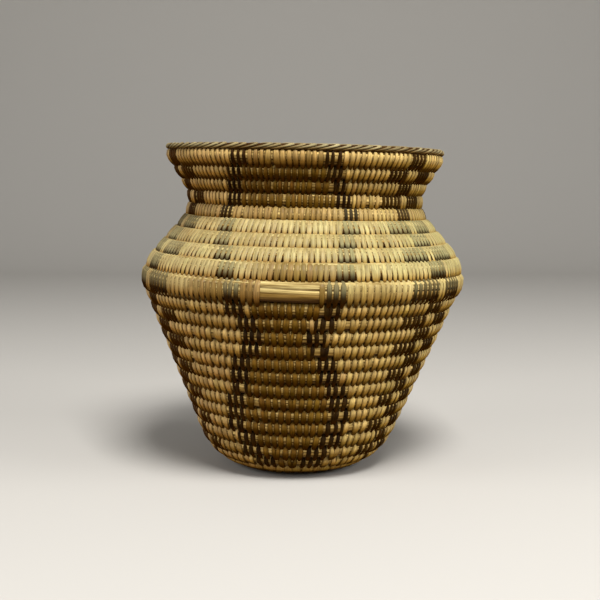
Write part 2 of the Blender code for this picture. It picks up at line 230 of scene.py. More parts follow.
class OllaColours(bpy.types.PropertyGroup):
    """Colours of the leaf, the grass and the stage."""

    tan_leaf: colour("Tan leaf", "Split leaf of the neck and the belly", "#D6B16F")
    bleached_leaf: colour("Bleached leaf", "Split leaf that the sun has bleached", "#B2A16C")
    brown_leaf: colour("Brown leaf", "Browner leaf inside the pattern", "#704F16")
    # Painted shade: the colour the lower part of each strip takes where it faces down
    underside_shade_leaf: colour("Aged leaf", "The lower part of each strip", "#8E6016")
    dark_leaf: colour("Dark leaf", "Strips of black seed pod", "#1C0E04")
    brown_dark: colour("Brown dark leaf", "Browner strips of the same, used in the checks", "#4E3410")
    # Faded by the sun on the shoulder, and lightened there by a painted sheen of the light above
    faded_dark_and_sheen: colour("Faded dark leaf", "Black strips that the sun has faded", "#93885F")
    grass: colour("Grass", "Stems of the bundle", "#D2B26E")
    # Older stems here and there, and the painted shade on the bundle's lower side
    old_and_shaded_grass: colour("Old grass", "Darker stems of the bundle", "#805C1C")
    # Painted shade: the dark brown laid below the strips, along their edges, between the rounds and in the
    # grooves
    painted_shade_brown: colour("Soil", "What has settled between the rounds", "#341A00")
    rim_leaf: colour("Rim leaf", "Strips over the rim", "#9E916B")
    # Browner rim strips, and the painted shade on the lower part of each rim strip
    rim_brown_and_shade: colour("Darker rim leaf", "Darker strips over the rim", "#644618")
    paper: colour("Paper", "Floor and backdrop", "#BCB8B1")


class Coil:
    """The spiral that the solids follow: how thick it is and where it lies after some turns."""

    def __init__(self):
        base_coil = (BASE_COILED - KNOT_RADIUS) / (BASE_ROUNDS - 1)
        self.pieces = self.outline()
        lengths = [piece[0] for piece in self.pieces]
        self.starts = np.concatenate([[0.0], np.cumsum(lengths)[:-1]])
        ridge_middle = sum(lengths[:3]) + lengths[3] / 2 - RIDGE_BELOW_BEND
        belly = ridge_middle - RIDGE_COIL / 2 - BASE_COILED - base_coil / 2
        above = sum(lengths) - ridge_middle - RIDGE_COIL / 2
        neck_coil = (above - SHOULDER_ROUNDS * SHOULDER_FULLER) / (SHOULDER_ROUNDS + NECK_ROUNDS)
        widths = np.repeat(
            [base_coil, belly / BELLY_ROUNDS, RIDGE_COIL, neck_coil + SHOULDER_FULLER, neck_coil],
            [BASE_ROUNDS, BELLY_ROUNDS, 1, SHOULDER_ROUNDS, NECK_ROUNDS],
        )
        rounds = np.arange(ROUNDS)
        self.width_turns = np.stack([rounds + BLEND_TURNS, rounds + 1 - BLEND_TURNS], axis=1).ravel()
        self.width_values = np.repeat(widths, 2)

    def outline(self):
        """Runs and bends by turns, each as its length, start, first heading and curvature.

        A bend of radius r through an angle a takes r tan(a / 2) off the end of each run that it joins.
        """
        runs = np.diff(CORNERS, axis=0)
        lengths = np.hypot(*runs.T)
        headings = np.arctan2(runs[:, 1], runs[:, 0])
        turned = np.diff(headings)
        half_tangents = np.tan(abs(turned) / 2)
        setbacks = np.minimum(BENDS * half_tangents, BEND_SHARE * np.minimum(lengths[:-1], lengths[1:]))
        radii = setbacks / half_tangents
        cut = np.concatenate([[0.0], setbacks, [0.0]])
        pieces = []
        for i, heading in enumerate(headings):
            along = runs[i] / lengths[i]
            start = CORNERS[i] + cut[i] * along
            pieces.append((lengths[i] - cut[i] - cut[i + 1], start, heading, 0.0))
            if i < len(turned):
                start = CORNERS[i + 1] - cut[i + 1] * along
                curvature = math.copysign(1.0 / radii[i], turned[i])
                pieces.append((radii[i] * abs(turned[i]), start, heading, curvature))
        return pieces

    def outline_at(self, distance):
        """Radius, height and heading at a distance along the outline.

        On a run: start + distance times heading. On a bend of curvature c from heading h0 to h:
        radius = r0 + (sin h - sin h0) / c, height = z0 - (cos h - cos h0) / c.
        """
        radius, height, heading = (np.zeros_like(distance) for _ in range(3))
        which = np.maximum(np.searchsorted(self.starts, distance, side="right") - 1, 0)
        for i, (_, point, first, curvature) in enumerate(self.pieces):
            inside = which == i
            run = distance[inside] - self.starts[i]
            now = first + curvature * run
            if curvature:
                radius[inside] = point[0] + (np.sin(now) - math.sin(first)) / curvature
                height[inside] = point[1] - (np.cos(now) - math.cos(first)) / curvature
            else:
                radius[inside] = point[0] + run * math.cos(first)
                height[inside] = point[1] + run * math.sin(first)
            heading[inside] = now
        return radius, height, heading

    def full_width(self, turns):
        """The coil's room along the outline, which grows from nothing over the first turn."""
        return np.interp(turns, self.width_turns, self.width_values) * np.clip(turns, 0.0, 1.0)

    def width(self, turns):
        """As full_width, but tapering to nothing at the coil's end."""
        return self.full_width(turns) * np.clip((ROUNDS - turns) / TAPER_TURNS, 0.0, 1.0)

    def inner_edge(self, turns):
        """Where the coil begins along the outline: the knot and the rounds below."""
        whole = np.floor(turns)
        edge = np.full_like(turns, KNOT_RADIUS)
        for below in range(ROUNDS):
            edge += np.where(below < whole, self.full_width(below + turns - whole), 0.0)
        return edge

    def place(self, turns, distance, outward, onward):
        """A point by its turns, its distance along the outline, and its offsets out from it and along it.

        x = radius sin(angle), y = -radius cos(angle) with angle = pi (1 - 2 turns), then the lean and dip.
        """
        radius, height, heading = self.outline_at(distance)
        radius = radius + outward * np.sin(heading) + onward * np.cos(heading)
        height = height - outward * np.cos(heading) + onward * np.sin(heading)
        angle = math.pi * (1 - 2 * turns)
        x = radius * np.sin(angle)
        y = -radius * np.cos(angle)
        dipped = height * (1 - x / MOUTH_HEIGHT * math.tan(MOUTH_DIP))
        return np.stack([x + height * math.tan(LEAN), y, dipped], axis=-1)

    def round_from_mouth(self, turns):
        """The number of the round that holds a turn, counted down from the mouth."""
        return ROUNDS - np.floor(turns)

    def bleach(self, turns):
        """How bleached the coil is."""
        return np.interp(ROUNDS + 0.5 - turns, BLEACH_ROUNDS, BLEACH)


class Core:
    """What strips are wrapped round: a middle line, with a section and a length along it for each turn."""

    def __init__(self, coil, sizes):
        self.coil = coil
        self.flatness = sizes.flatness
        self.squareness = (sizes.squareness, sizes.shoulder_squareness)
        self.snug = sizes.snug

    def radius(self, turns):
        """Half the coil's room, less what the strips need."""
        snug = self.snug * (1 - LESS_SNUG * self.coil.bleach(turns))
        return np.maximum(self.coil.width(turns) / 2 - snug, LEAST_RADIUS)

    def around(self, turns, reach, angle, shift=0.0):
        """A point of a section: at an angle a from straight outwards it lies reach * s from the middle,
        with s = (|cos a|^n + |sin a|^n)^(-1/n), which is a circle where n is 2 and fuller where n is more,
        and is then shifted outwards.
        """
        power = np.interp(self.coil.bleach(turns), (0, 1), self.squareness)
        fuller = (np.abs(np.cos(angle)) ** power + np.abs(np.sin(angle)) ** power) ** (-1 / power)
        return self.place(turns, reach * fuller * np.cos(angle) + shift, reach * fuller * np.sin(angle))

    def middle(self, turns):
        """Where the core's middle lies along the outline."""
        return self.coil.inner_edge(turns) + self.coil.width(turns) / 2

    def place(self, turns, outward, onward):
        """A point by its offsets from the middle, the upper half taller under the rim."""
        lap = LAP + BLEACHED_LAP * self.coil.bleach(turns)
        lap = lap + RIM_LAP * np.clip((turns - ROUNDS + 1) / BLEND_TURNS, 0, 1) * (onward > 0)
        return self.coil.place(turns, self.middle(turns), outward * self.flatness, onward * lap)

    def upward(self, turns, angle):
        """How far up a section faces at an angle a: sin a sin h - cos a cos h, h being the heading."""
        heading = self.coil.outline_at(self.middle(turns))[2]
        return np.sin(angle) * np.sin(heading) - np.cos(angle) * np.cos(heading)

    def metres_a_turn(self, turns):
        """Length of a turn along the outside of the coil: 2 pi times its distance from the axis."""
        radius, _, heading = self.coil.outline_at(self.middle(turns))
        return math.tau * (radius + self.radius(turns) * np.sin(heading))


class RimCore(Core):
    """The closed ring over the last round, which the rim's strips are wrapped round."""

    def __init__(self, coil, sizes):
        self.coil = coil
        self.squareness = (2.0, 2.0)
        self.snug = sizes.rim_thickness + sizes.strip_edge
        self.rim_radius = sizes.rim_radius

    def last_turn(self, turns):
        """The same place, counted within the last turn."""
        return ROUNDS - 1 + (turns - ROUNDS + 1) % 1.0

    def seat(self, turns):
        """Where the last round ends along the outline."""
        return self.coil.inner_edge(turns) + self.coil.width(turns)

    def radius(self, turns):
        """The same all the way round."""
        return np.full(np.shape(turns), self.rim_radius - self.snug)

    def middle(self, turns):
        """Where the rim's middle lies along the outline: half its height below its top."""
        return self.seat(self.last_turn(turns)) + RIM_COIL - self.rim_radius

    def place(self, turns, outward, onward):
        """A point by its offsets from the rim's middle."""
        return self.coil.place(self.last_turn(turns), self.middle(turns), outward, onward)

    def metres_a_turn(self, turns):
        """Length round the mouth: 2 pi times its radius."""
        return np.full_like(turns, math.tau * MOUTH_RADIUS)


def new_object(name, data):
    """An object in the scene that shows this data."""
    thing = bpy.data.objects.new(name, data)
    bpy.context.scene.collection.objects.link(thing)
    return thing


def new_piece(name, points, polygons, plan, facts, material, replaced, smooth=True):
    """A mesh object from its points, its polygons as arrays of corners, a UV for each corner in metres,
    named facts that are spread over the points, and which polygons are smooth. It stands for the CAD nodes
    that it replaces."""
    corners = np.concatenate([polygon.ravel() for polygon in polygons])
    counts = np.concatenate([np.full(len(polygon), polygon.shape[1]) for polygon in polygons])
    starts = np.concatenate([[0], np.cumsum(counts)[:-1]])
    mesh = bpy.data.meshes.new(name)
    mesh.vertices.add(points.size // 3)
    mesh.vertices.foreach_set("co", points.astype(np.float32).ravel())
    mesh.loops.add(len(corners))
    mesh.loops.foreach_set("vertex_index", corners.astype(np.int32))
    mesh.polygons.add(len(counts))
    mesh.polygons.foreach_set("loop_start", starts.astype(np.int32))
    mesh.polygons.foreach_set("use_smooth", np.broadcast_to(smooth, len(counts)).copy())
    layer = mesh.uv_layers.new(name="plan")
    places = np.concatenate([part.reshape(-1, 2) for part in plan])
    layer.data.foreach_set("uv", places.astype(np.float32).ravel())
    for fact, values in facts.items():
        attribute = mesh.attributes.new(fact, "FLOAT", "POINT")
        attribute.data.foreach_set("value", np.broadcast_to(np.float32(values), points.shape[:-1]).ravel())
    mesh.update(calc_edges=True)
    mesh.materials.append(material)
    piece = new_object(name, mesh)
    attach(piece, "root")
    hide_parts(*replaced)
    return piece


def grid(rows, columns, closed_rows):
    """Quads of a grid that closes on itself across its columns, and along its rows too if asked.

    Gives each quad's corners as points, and as unwrapped rows and columns.
    """
    last = rows if closed_rows else rows - 1
    row, column = np.meshgrid(np.arange(last), np.arange(columns), indexing="ij")
    steps = np.array([(0, 0), (0, 1), (1, 1), (1, 0)])
    rows_at = row.ravel()[:, None] + steps[:, 0]
    columns_at = column.ravel()[:, None] + steps[:, 1]
    return (rows_at % rows) * columns + columns_at % columns, rows_at, columns_at


def shadow_of(core, turns, angle, top):
    """How much painted shade a point has: none where it faces up by 0.35 or more, all where it faces down
    by 0.9, and top * sin(a)^6 more towards the rounds beside it."""
    low = np.clip((0.35 - core.upward(turns, angle)) / 1.25, 0, 1)
    return np.clip(low + top * np.sin(angle) ** 6, 0, 1)


def bleach_of(core, turns, angle):
    """How bleached a point is: all of its round's share where it faces up by 0.15 or more, and less and
    less below, down to a tenth."""
    return core.coil.bleach(turns) * np.clip((core.upward(turns, angle) + 0.75) / 0.9, 0.1, 1.0)


def wrap_strips(core, turns, width, thickness, foot, point, edge_lift, bite, foot_out, stations=12):
    """Strips wrapped round a core, each a closed ring of quads, crowned on top and flat beneath.

    Round the core by an angle a from straight outwards, a strip's middle lies foot * -sin(a) / 2 along the
    coil, so that it leans. It narrows over the core and more so under it, by sin(a)^4 of each share.
    Below it leaves the core by bite * (-sin(a))^8, into the round underneath, and stays out of the coil's
    middle by foot_out * (-sin(a))^8. Across it, the height at -1, -0.6, 0.6 and 1 of its half width is that
    of its edge, its crown, its crown and its edge. Its sides are flat facets and the rest is smooth.
    Each strip has a place of its own on the UV plan, so that no two share their fibres.
    """
    narrower, apart_across, apart_along = 0.35, 7, 3
    angle = np.arange(stations) / stations * math.tau
    across = np.array([-1.0, -0.6, 0.6, 1.0])
    lift = np.array([0.0, 1.0, 1.0, 0.0])
    sine = np.sin(angle)
    over, under = np.clip(sine, 0, 1), np.clip(-sine, 0, 1)
    middle = -foot[:, None] / 2 * sine
    half = width[:, None] / 2 * (1 - narrower * over ** 4 - point[:, None] * under ** 4)
    along = middle[:, :, None] + half[:, :, None] * across
    at = turns[:, None, None] + along / core.metres_a_turn(turns)[:, None, None]
    low = under[:, None] ** 8
    rise = edge_lift + thickness[:, None, None] * lift
    points = core.around(at, core.radius(at) + bite * low + rise, angle[:, None], foot_out * low)
    quads, rows_at, columns_at = grid(stations, len(across), True)
    count = stations * len(across)
    number = np.arange(len(turns))[:, None, None]
    polygons = (number * count + quads).reshape(-1, 4)
    girth = math.tau * core.radius(turns)
    spread = np.array([-0.5, -0.3, 0.3, 0.5, 1.0])
    plan = np.stack([
        width[:, None, None] * (spread[columns_at] + apart_across * number),
        girth[:, None, None] * (rows_at / stations + apart_along * number),
    ], axis=-1)
    # Painted shade below each strip and towards the rounds beside it, and, through edge, along its edges
    facts = {
        "valley": shadow_of(core, turns[:, None], angle, 0.25)[:, :, None],
        "bleach": bleach_of(core, turns[:, None], angle)[:, :, None],
        "edge": 1 - lift,
    }
    smooth = np.tile(columns_at[:, 0] % 2 == 1, len(turns))
    return points, polygons, plan, facts, smooth


def nearest_gap(turns, wanted):
    """The middle between two strips that is nearest to each wanted place."""
    gaps = (turns[1:] + turns[:-1]) / 2
    after = np.clip(np.searchsorted(gaps, wanted), 1, len(gaps) - 1)
    return np.where(wanted - gaps[after - 1] < gaps[after] - wanted, gaps[after - 1], gaps[after])


class Sewing:
    """Every strip of the coil: where it is, how wide, and what it is cut from."""

    def __init__(self, coil, sizes):
        self.core = core = Core(coil, sizes)
        self.sizes = sizes
        rng = np.random.default_rng(SEED)
        self.turns = turns = self.spaced(coil, rng)
        many = len(turns)
        metres = core.metres_a_turn(turns)
        self.bleach = coil.bleach(turns)
        self.rounds = coil.round_from_mouth(turns)
        self.steps = STEPS / 2 - STEPS * (turns % 1.0)
        pitch = np.interp(self.rounds, PITCH_ROUNDS, PITCHES)
        self.width = np.clip(np.gradient(turns) * metres, ROOM[0] * pitch, ROOM[1] * pitch)
        self.width *= rng.normal(1.0, SPREAD["width"], many)
        self.thickness = sizes.strip_thickness * rng.normal(1.0, SPREAD["thickness"], many)
        self.thickness *= 1 - sizes.flatter * self.bleach
        self.shade = 0.5 + rng.uniform(-0.5, 0.5, many) * (1 - EVENER["shade"] * self.bleach)
        changes = np.arange(0, many + BATCH_STRIPS, BATCH_STRIPS)
        batches = BATCH_BROWN * rng.uniform(0, 1, len(changes)) ** 2
        self.brown = np.interp(np.arange(many), changes, batches)
        self.band = np.full(many, "", dtype=object)
        self.set_pattern()
        # Painted light: the leaf is yellower on the right, where the light falls brighter
        self.tone = 0.5 + YELLOWER * np.sin(math.tau * self.steps / STEPS)
        self.tone += rng.normal(0, SPREAD["tone"], many)
        pale_share = np.where(self.brown == 1.0, sizes.brown_share, sizes.strip_share)
        dark_share = sizes.dark_share + sizes.dark_wider * self.bleach
        self.width *= np.where(self.band != "", dark_share, pale_share)
        # A strip's foot goes between two strips of the round below
        wanted = turns - 1 + sizes.strip_lean / metres
        off = (nearest_gap(turns, wanted) - wanted) * metres
        off *= sizes.foot_choice * (1 - EVENER["foot"] * self.bleach)
        self.foot = np.where(turns > FEET_FROM, sizes.strip_lean + off, 0.0)
        self.set_worn_and_shaded_places()

    def spaced(self, coil, rng, samples=20000):
        """The turns at which the strips stand: a pitch apart, give or take a random part of it.

        The strips up to a turn are the integral of metres a turn / pitch. Each then moves towards the
        nearest gap in the round below, and towards its neighbours' middle where they are bleached.
        """
        fine = np.linspace(FIRST_TURN, COIL_END, samples)
        pitch = np.interp(coil.round_from_mouth(fine), PITCH_ROUNDS, PITCHES)
        density = self.core.metres_a_turn(fine) / pitch
        count = np.concatenate([[0.0], np.cumsum((density[1:] + density[:-1]) / 2 * np.diff(fine))])
        numbers = np.arange(0.5, count[-1] - 0.5)
        turns = np.sort(np.interp(numbers + rng.normal(0, SPREAD["place"], len(numbers)), count, fine))
        for whole in range(1, ROUNDS):
            here = np.floor(turns) == whole
            turns[here] += self.sizes.settle * (nearest_gap(turns, turns[here] - 1) + 1 - turns[here])
        uneven = (turns[:-2] + turns[2:]) / 2 - turns[1:-1]
        turns[1:-1] += EVENER["place"] * coil.bleach(turns[1:-1]) * uneven
        return turns

    def steps_to_turns(self, round_number, steps):
        """The turns of a place given by its round of the wall and its steps right of the front."""
        drift = np.interp(round_number, DRIFT_ROUNDS, DRIFT_STEPS)
        return ROUNDS - round_number + (STEPS / 2 - steps - drift) / STEPS

    def between(self, round_number, first, last):
        """Which strips stand between two steps of a round."""
        ends = self.steps_to_turns(round_number, np.array([last, first]))
        return (self.turns > ends[0]) & (self.turns < ends[1])

    def nearest(self, round_number, step):
        """The strip that stands nearest to a step of a round."""
        return np.argmin(np.where(self.rounds == round_number, abs(self.steps - step), np.inf))

    def set_pattern(self):
        """Names the band of each dark strip, and marks the browner strips inside a pair."""
        for number in range(1, WALL_ROUNDS + 1):
            away = np.interp(number, ZIGZAG_ROUNDS, ZIGZAG_STEPS)
            for place, middle in PAIR_MIDDLES.items():
                for side, first in (("left", middle - away - BAND_STEPS), ("right", middle + away)):
                    centre = self.steps_to_turns(number, first + BAND_STEPS / 2)
                    nearest = np.argsort(abs(self.turns - centre))[:BAND_STRIPS]
                    self.band[nearest] = f"{place}_zigzag_{side}"
                    self.brown[nearest] = 0.0
                if any(first <= number <= last for first, last in BROWN_ROUNDS):
                    inside = self.between(number, middle - away, middle + away) & (self.band == "")
                    self.brown[inside] = MOUTH_BROWN if number == 1 else 1.0
            for place, middle in CHECK_MIDDLES.items():
                first = middle - CHECK_STEPS // 2
                last = first + CHECK_STEPS
                runs = [(first - CHECK_STEPS, first + CHECK_LAP), (last - CHECK_LAP, last + CHECK_STEPS)]
                if number % 2:
                    runs = [(first, last)]
                for run in runs:
                    inside = self.between(number, *run)
                    self.band[inside] = f"{place}_checks"
                    self.brown[inside] = CHECK_BROWN[place] * (1 - self.bleach[inside])

    def set_worn_and_shaded_places(self):
        """Marks strips brown, some of it painted shade, takes them off the ridge's bare stretch, all but
        one, flattens those of the base's last round, and broadens one strip above the ridge in the place of
        two."""
        for number, middle, half_width, browner in MARKS:
            near = np.clip(MARK_FADES - abs(self.steps - middle) / half_width, 0.0, 1.0)
            near *= (self.rounds == number) & (self.band == "")
            self.brown = np.maximum(self.brown, browner * near)
        bare = (self.rounds == RIDGE_ROUND) & (self.band == "")
        bare &= (self.steps > BARE_STEPS[0]) & (self.steps < BARE_STEPS[1])
        left = self.nearest(RIDGE_ROUND, STRIP_LEFT_AT)
        bare[left] = False
        self.brown[left] = STRIP_LEFT["brown"]
        edge = np.floor(self.turns) == BASE_ROUNDS - 1
        self.shade[edge] = 0.5 + EDGE["shade"] * (self.shade[edge] - 0.5)
        for which, change in ((left, STRIP_LEFT), (edge, EDGE)):
            self.width[which] *= change["width"]
            self.thickness[which] *= change["thickness"]
        broad = self.nearest(BROAD_ROUND, BROAD_AT)
        self.width[broad] *= BROAD_BY
        self.turns[broad] = (self.turns[broad] + self.turns[broad - 1]) / 2
        bare[broad - 1] = True
        self.kept = ~bare

    def sew(self, kind, node, which, material):
        """One piece with the strips that are asked for, which belong to this CAD node."""
        which = np.flatnonzero(which & self.kept)
        sizes = self.sizes
        points, polygons, plan, facts, smooth = wrap_strips(
            self.core, self.turns[which], self.width[which], self.thickness[which], self.foot[which],
            sizes.strip_point * (1 - EVENER["point"] * self.bleach[which]), sizes.strip_edge,
            sizes.strip_bite, sizes.foot_out,
        )
        for fact in ("shade", "tone", "brown"):
            facts[fact] = getattr(self, fact)[which, None, None]
        dark = (self.band[which] != "")[:, None, None]
        facts["bleach"] = np.where(dark, facts["bleach"] ** 2, facts["bleach"])
        points[..., 2] = set_down(points[..., 2])
        new_piece(f"{kind}_of_{node}", points, [polygons], [plan], facts, material, [node], smooth)


def set_down(height, softness=0.0006):
    """Heights pressed flat on the floor: softness * ln(1 + exp(height / softness))."""
    return np.logaddexp(0.0, height / softness) * softness


def make_bundle_round(first, last, core, sizes, material, shade_weight, shade, steps=120):
    """A round of the bundle, a closed tube whose section rises and falls once for each stem.

    Each stem takes three points of the section, a groove and two on its back. The groove lies deeper by
    depth times the square of a random share. All three are sunk by
    depth * share * (1 + sin(2 pi (dives * turns + phase * number))) / 2, so that stems rise and dive as
    they turn slowly about the bundle. Painted shade darkens it below, between the rounds and in the
    grooves.
    Where it is bleached, shade * 2.2 (|sin a - 0.3| - 0.3) adds painted shade to what shows between the
    strips' feet.
    """
    twist, dives, phase, off_floor = 0.35, 5, 0.618, 0.0002
    sides = 3 * sizes.stems
    stem = np.arange(sides) // 3
    rng = np.random.default_rng(SEED)
    line = rng.uniform(0.3, 1.0, sizes.stems)[stem] * (np.arange(sides) % 3 == 0)
    sunk = rng.uniform(0.0, 0.6, sizes.stems)[stem]
    turns = np.linspace(first, last, steps + 1)
    angle = np.arange(sides) / sides * math.tau + twist * math.tau * turns[:, None]
    wander = 0.5 + 0.5 * np.sin(math.tau * (turns[:, None] * dives + stem * phase))
    reach = core.radius(turns)[:, None] - sizes.stem_depth * (line ** 2 + sunk * wander)
    at = np.broadcast_to(turns[:, None], reach.shape)
    points = core.around(at, reach, angle)
    points[..., 2] = set_down(points[..., 2]) + off_floor
    quads, rows_at, columns_at = grid(steps + 1, sides, False)
    length = core.metres_a_turn(turns[:1]) * (last - first)
    girth = math.tau * core.radius(turns[:1])
    plan = np.stack([columns_at / sides * girth, (first + rows_at / steps) * length], axis=-1)
    caps = [np.arange(sides)[None, ::-1], (steps * sides + np.arange(sides))[None]]
    cap_plan = np.zeros((1, sides, 2))
    bleach = bleach_of(core, at, angle)
    # Painted shade: below each round, between the rounds, in the grooves between stems, and where bleached
    # in the gaps between the strips' feet
    holes = np.clip(2.2 * (abs(np.sin(angle) - 0.3) - 0.3), 0, 1)
    facts = {
        "valley": np.clip(shade_weight * shadow_of(core, at, angle, 0.8) + shade * bleach * holes, 0, 1),
        "bleach": bleach,
        "groove": line * np.clip(1 - 1.2 * np.sin(angle), 0.15, 1.0),
    }
    node = name_of(first)
    plans = [plan, cap_plan, cap_plan]
    new_piece(f"grass_of_{node}", points, [quads, *caps], plans, facts, material, [node])


def name_of(first):
    """The CAD node of the round of the coil that starts near this turn."""
    whole = int(first)
    if whole < BASE_ROUNDS:
        return f"base_coil_{whole + 1}"
    return f"wall_coil_{whole - BASE_ROUNDS + 1:02d}"


# Where a Mix node keeps its colours and their mix
MIX_FACTOR, MIX_A, MIX_B, MIX_RESULT = 0, 6, 7, 2


def fill(tree, node, inputs):
    """Sets a node's inputs to values, or links other nodes' outputs to them."""
    for key, value in inputs.items():
        if isinstance(value, bpy.types.NodeSocket):
            tree.links.new(value, node.inputs[key])
        else:
            node.inputs[key].default_value = value


def add_node(tree, kind, output, inputs=None, **settings):
    """Adds a node with its settings and links, and gives the output of it that is wanted."""
    node = tree.nodes.new("ShaderNode" + kind)
    for setting, value in settings.items():
        setattr(node, setting, value)
    fill(tree, node, inputs or {})
    return node.outputs[output]


def start_material(name, facts=()):
    """A new material, its nodes, and an output for each fact that the points carry."""
    material = bpy.data.materials.new(name)
    material.use_nodes = True
    tree = material.node_tree
    return material, tree, {fact: add_node(tree, "Attribute", "Fac", attribute_name=fact) for fact in facts}


def draw_fibres(tree, width, length, detail, roughness):
    """Noise drawn out along the UV plan into fibres this wide and this long, in metres."""
    place = add_node(tree, "Mapping", "Vector", {
        "Vector": add_node(tree, "UVMap", "UV", uv_map="plan"), "Scale": (1 / width, 1 / length, 1.0)
    })
    return add_node(tree, "TexNoise", "Fac", {
        "Vector": place, "Scale": 1.0, "Detail": detail, "Roughness": roughness
    }, noise_dimensions="2D")


def paints(colours, *names):
    """The sidebar's colours of those names, all opaque."""
    return [(*getattr(colours, name), 1.0) for name in names]


def leaf_material(name, colours, kinds, roughness, specular, fibre_width=0.0009, bump=0.5):
    """A leaf material whose colour goes by what each point knows about its strip.

    kinds: the common colour, the bleached one, the brown one and the painted shade of a strip's lower part.
    """
    common, bleached, brown, underside_shade, painted_shade_brown = paints(colours, *kinds, "painted_shade_brown")
    material, tree, fact = start_material(name, ("valley", "edge", "bleach", "brown", "shade", "tone"))
    # Real fibres are about 0.2 mm wide, finer than a pixel here, and are drawn coarser to show
    streaks = draw_fibres(tree, fibre_width, fibre_width * 18, 2.0, 0.6)
    patches = add_node(tree, "TexNoise", "Fac", {
        "Vector": add_node(tree, "TexCoord", "Object"), "Scale": 110.0, "Detail": 3.0
    })
    # Each runs between its last two numbers while its source runs between the first two
    part = {
        key: add_node(tree, "MapRange", "Result", dict(enumerate(values))) for key, values in {
            # The first weighs the painted shade, less where bleached; under, edge and deep paint shade
            # below each strip, along its edges and deep between the rounds
            "shade_weight": (fact["bleach"], 0.0, 1.0, 1.0, 0.32),
            "under": (fact["valley"], 0.15, 0.7, 0.0, 0.85),
            "patch": (patches, 0.4, 0.7, 0.0, 0.4),
            "light": (fact["shade"], 0.0, 1.0, 0.78, 1.14),
            "streak": (streaks, 0.3, 0.7, 0.72, 1.24),
            "hue": (fact["tone"], 0.0, 1.0, 0.492, 0.515),
            "edge": (fact["edge"], 0.1, 0.9, 0.0, 0.85),
            "deep": (fact["valley"], 0.75, 1.0, 0.0, 0.92),
            "gloss": (fact["valley"], 0.0, 0.6, specular, 0.0),
        }.items()
    }
    for key, other in (("under", "shade_weight"), ("edge", "shade_weight"), ("deep", "shade_weight"), ("light", "streak")):
        part[key] = add_node(tree, "Math", 0, {0: part[key], 1: part[other]}, operation="MULTIPLY")
    # Painted shade makes the leaf darker below and between the rounds; it is brown where the pattern has it
    # so and in some patches
    inputs = {MIX_FACTOR: part["under"], MIX_A: brown, MIX_B: painted_shade_brown}
    browner = add_node(tree, "Mix", MIX_RESULT, inputs, data_type="RGBA")
    base = common
    for factor, other in (
        (fact["bleach"], bleached), (part["under"], underside_shade), (fact["brown"], browner), (part["patch"], brown),
    ):
        inputs = {MIX_FACTOR: factor, MIX_A: base, MIX_B: other}
        base = add_node(tree, "Mix", MIX_RESULT, inputs, data_type="RGBA")
    # Each strip has a shade and a hue of its own, and each fibre a shade
    inputs = {"Hue": part["hue"], "Value": part["light"], "Color": base}
    base = add_node(tree, "HueSaturation", "Color", inputs)
    # Painted shade darkens the strips' edges and deep between the rounds, least where they are bleached
    for factor in (part["edge"], part["deep"]):
        inputs = {MIX_FACTOR: factor, MIX_A: base, MIX_B: painted_shade_brown}
        base = add_node(tree, "Mix", MIX_RESULT, inputs, data_type="RGBA")
    relief = add_node(tree, "Bump", "Normal", {"Height": streaks, "Strength": bump, "Distance": 0.0001})
    fill(tree, tree.nodes["Principled BSDF"], {
        "Base Color": base, "Roughness": roughness, "Normal": relief,
        "Specular IOR Level": part["gloss"],
    })
    return material


def grass_material(colours):
    """Bear grass, dried whole and unsplit: long pale stems side by side, each of its own tone, matt."""
    base, old_and_shaded, bleached, painted_shade_brown = paints(colours, "grass", "old_and_shaded_grass", "bleached_leaf", "painted_shade_brown")
    material, tree, fact = start_material("dried_bear_grass", ("valley", "bleach", "groove"))
    lines = draw_fibres(tree, 0.0008, 0.030, 3.0, 0.65)
    # Painted shade darkens the stems below, between the rounds and in the grooves; older stems lie here and
    # there
    for value, low, high, most, other in (
        (fact["bleach"], 0.0, 1.0, 1.0, bleached), (fact["valley"], 0.25, 0.6, 0.75, old_and_shaded),
        (lines, 0.40, 0.72, 0.8, old_and_shaded), (fact["valley"], 0.7, 1.0, 0.95, painted_shade_brown),
        (fact["groove"], 0.1, 0.8, 0.92, painted_shade_brown),
    ):
        factor = add_node(tree, "MapRange", "Result", {0: value, 1: low, 2: high, 4: most})
        inputs = {MIX_FACTOR: factor, MIX_A: base, MIX_B: other}
        base = add_node(tree, "Mix", MIX_RESULT, inputs, data_type="RGBA")
    light = add_node(tree, "MapRange", "Result", {0: lines, 1: 0.3, 2: 0.7, 3: 1.3, 4: 0.6})
    base = add_node(tree, "HueSaturation", "Color", {"Value": light, "Color": base})
    relief = add_node(tree, "Bump", "Normal", {"Height": lines, "Strength": 0.5, "Distance": 0.0002})
    fill(tree, tree.nodes["Principled BSDF"], {
        "Base Color": base, "Roughness": 0.62, "Specular IOR Level": 0.06, "Normal": relief,
    })
    return material


def paper_material(colours):
    """Seamless photographer's paper: even, matt and pale."""
    material, tree, _ = start_material("seamless_paper")
    fill(tree, tree.nodes["Principled BSDF"], {
        "Base Color": paints(colours, "paper")[0], "Roughness": 0.9, "Specular IOR Level": 0.1
    })
    return material


class OLLA_OT_bundle(bpy.types.Operator):
    """Coil the bundle of grass, one piece for each round"""

    bl_idname = "olla.bundle"
    bl_label = "Coil the Bundle"

    def execute(self, context):
        sizes = context.scene.olla_sewing
        core = Core(Coil(), sizes)
        material = grass_material(context.scene.olla_colours)
        for i in range(ROUNDS):
            # Each round's weight of painted shade, and of painted shade in the gaps between its strips'
            # feet
            slot, shade_weight, shade = ("sewn_coil", 1.0, 0.95)
            if ROUNDS - i == RIDGE_ROUND:
                slot, shade_weight, shade = ("bare_bundle", 1.2, 0.0)
            first, last = max(i, FIRST_TURN), min(i + 1, COIL_END)
            make_bundle_round(first, last, core, sizes, material, shade_weight, shade)
        return {"FINISHED"}


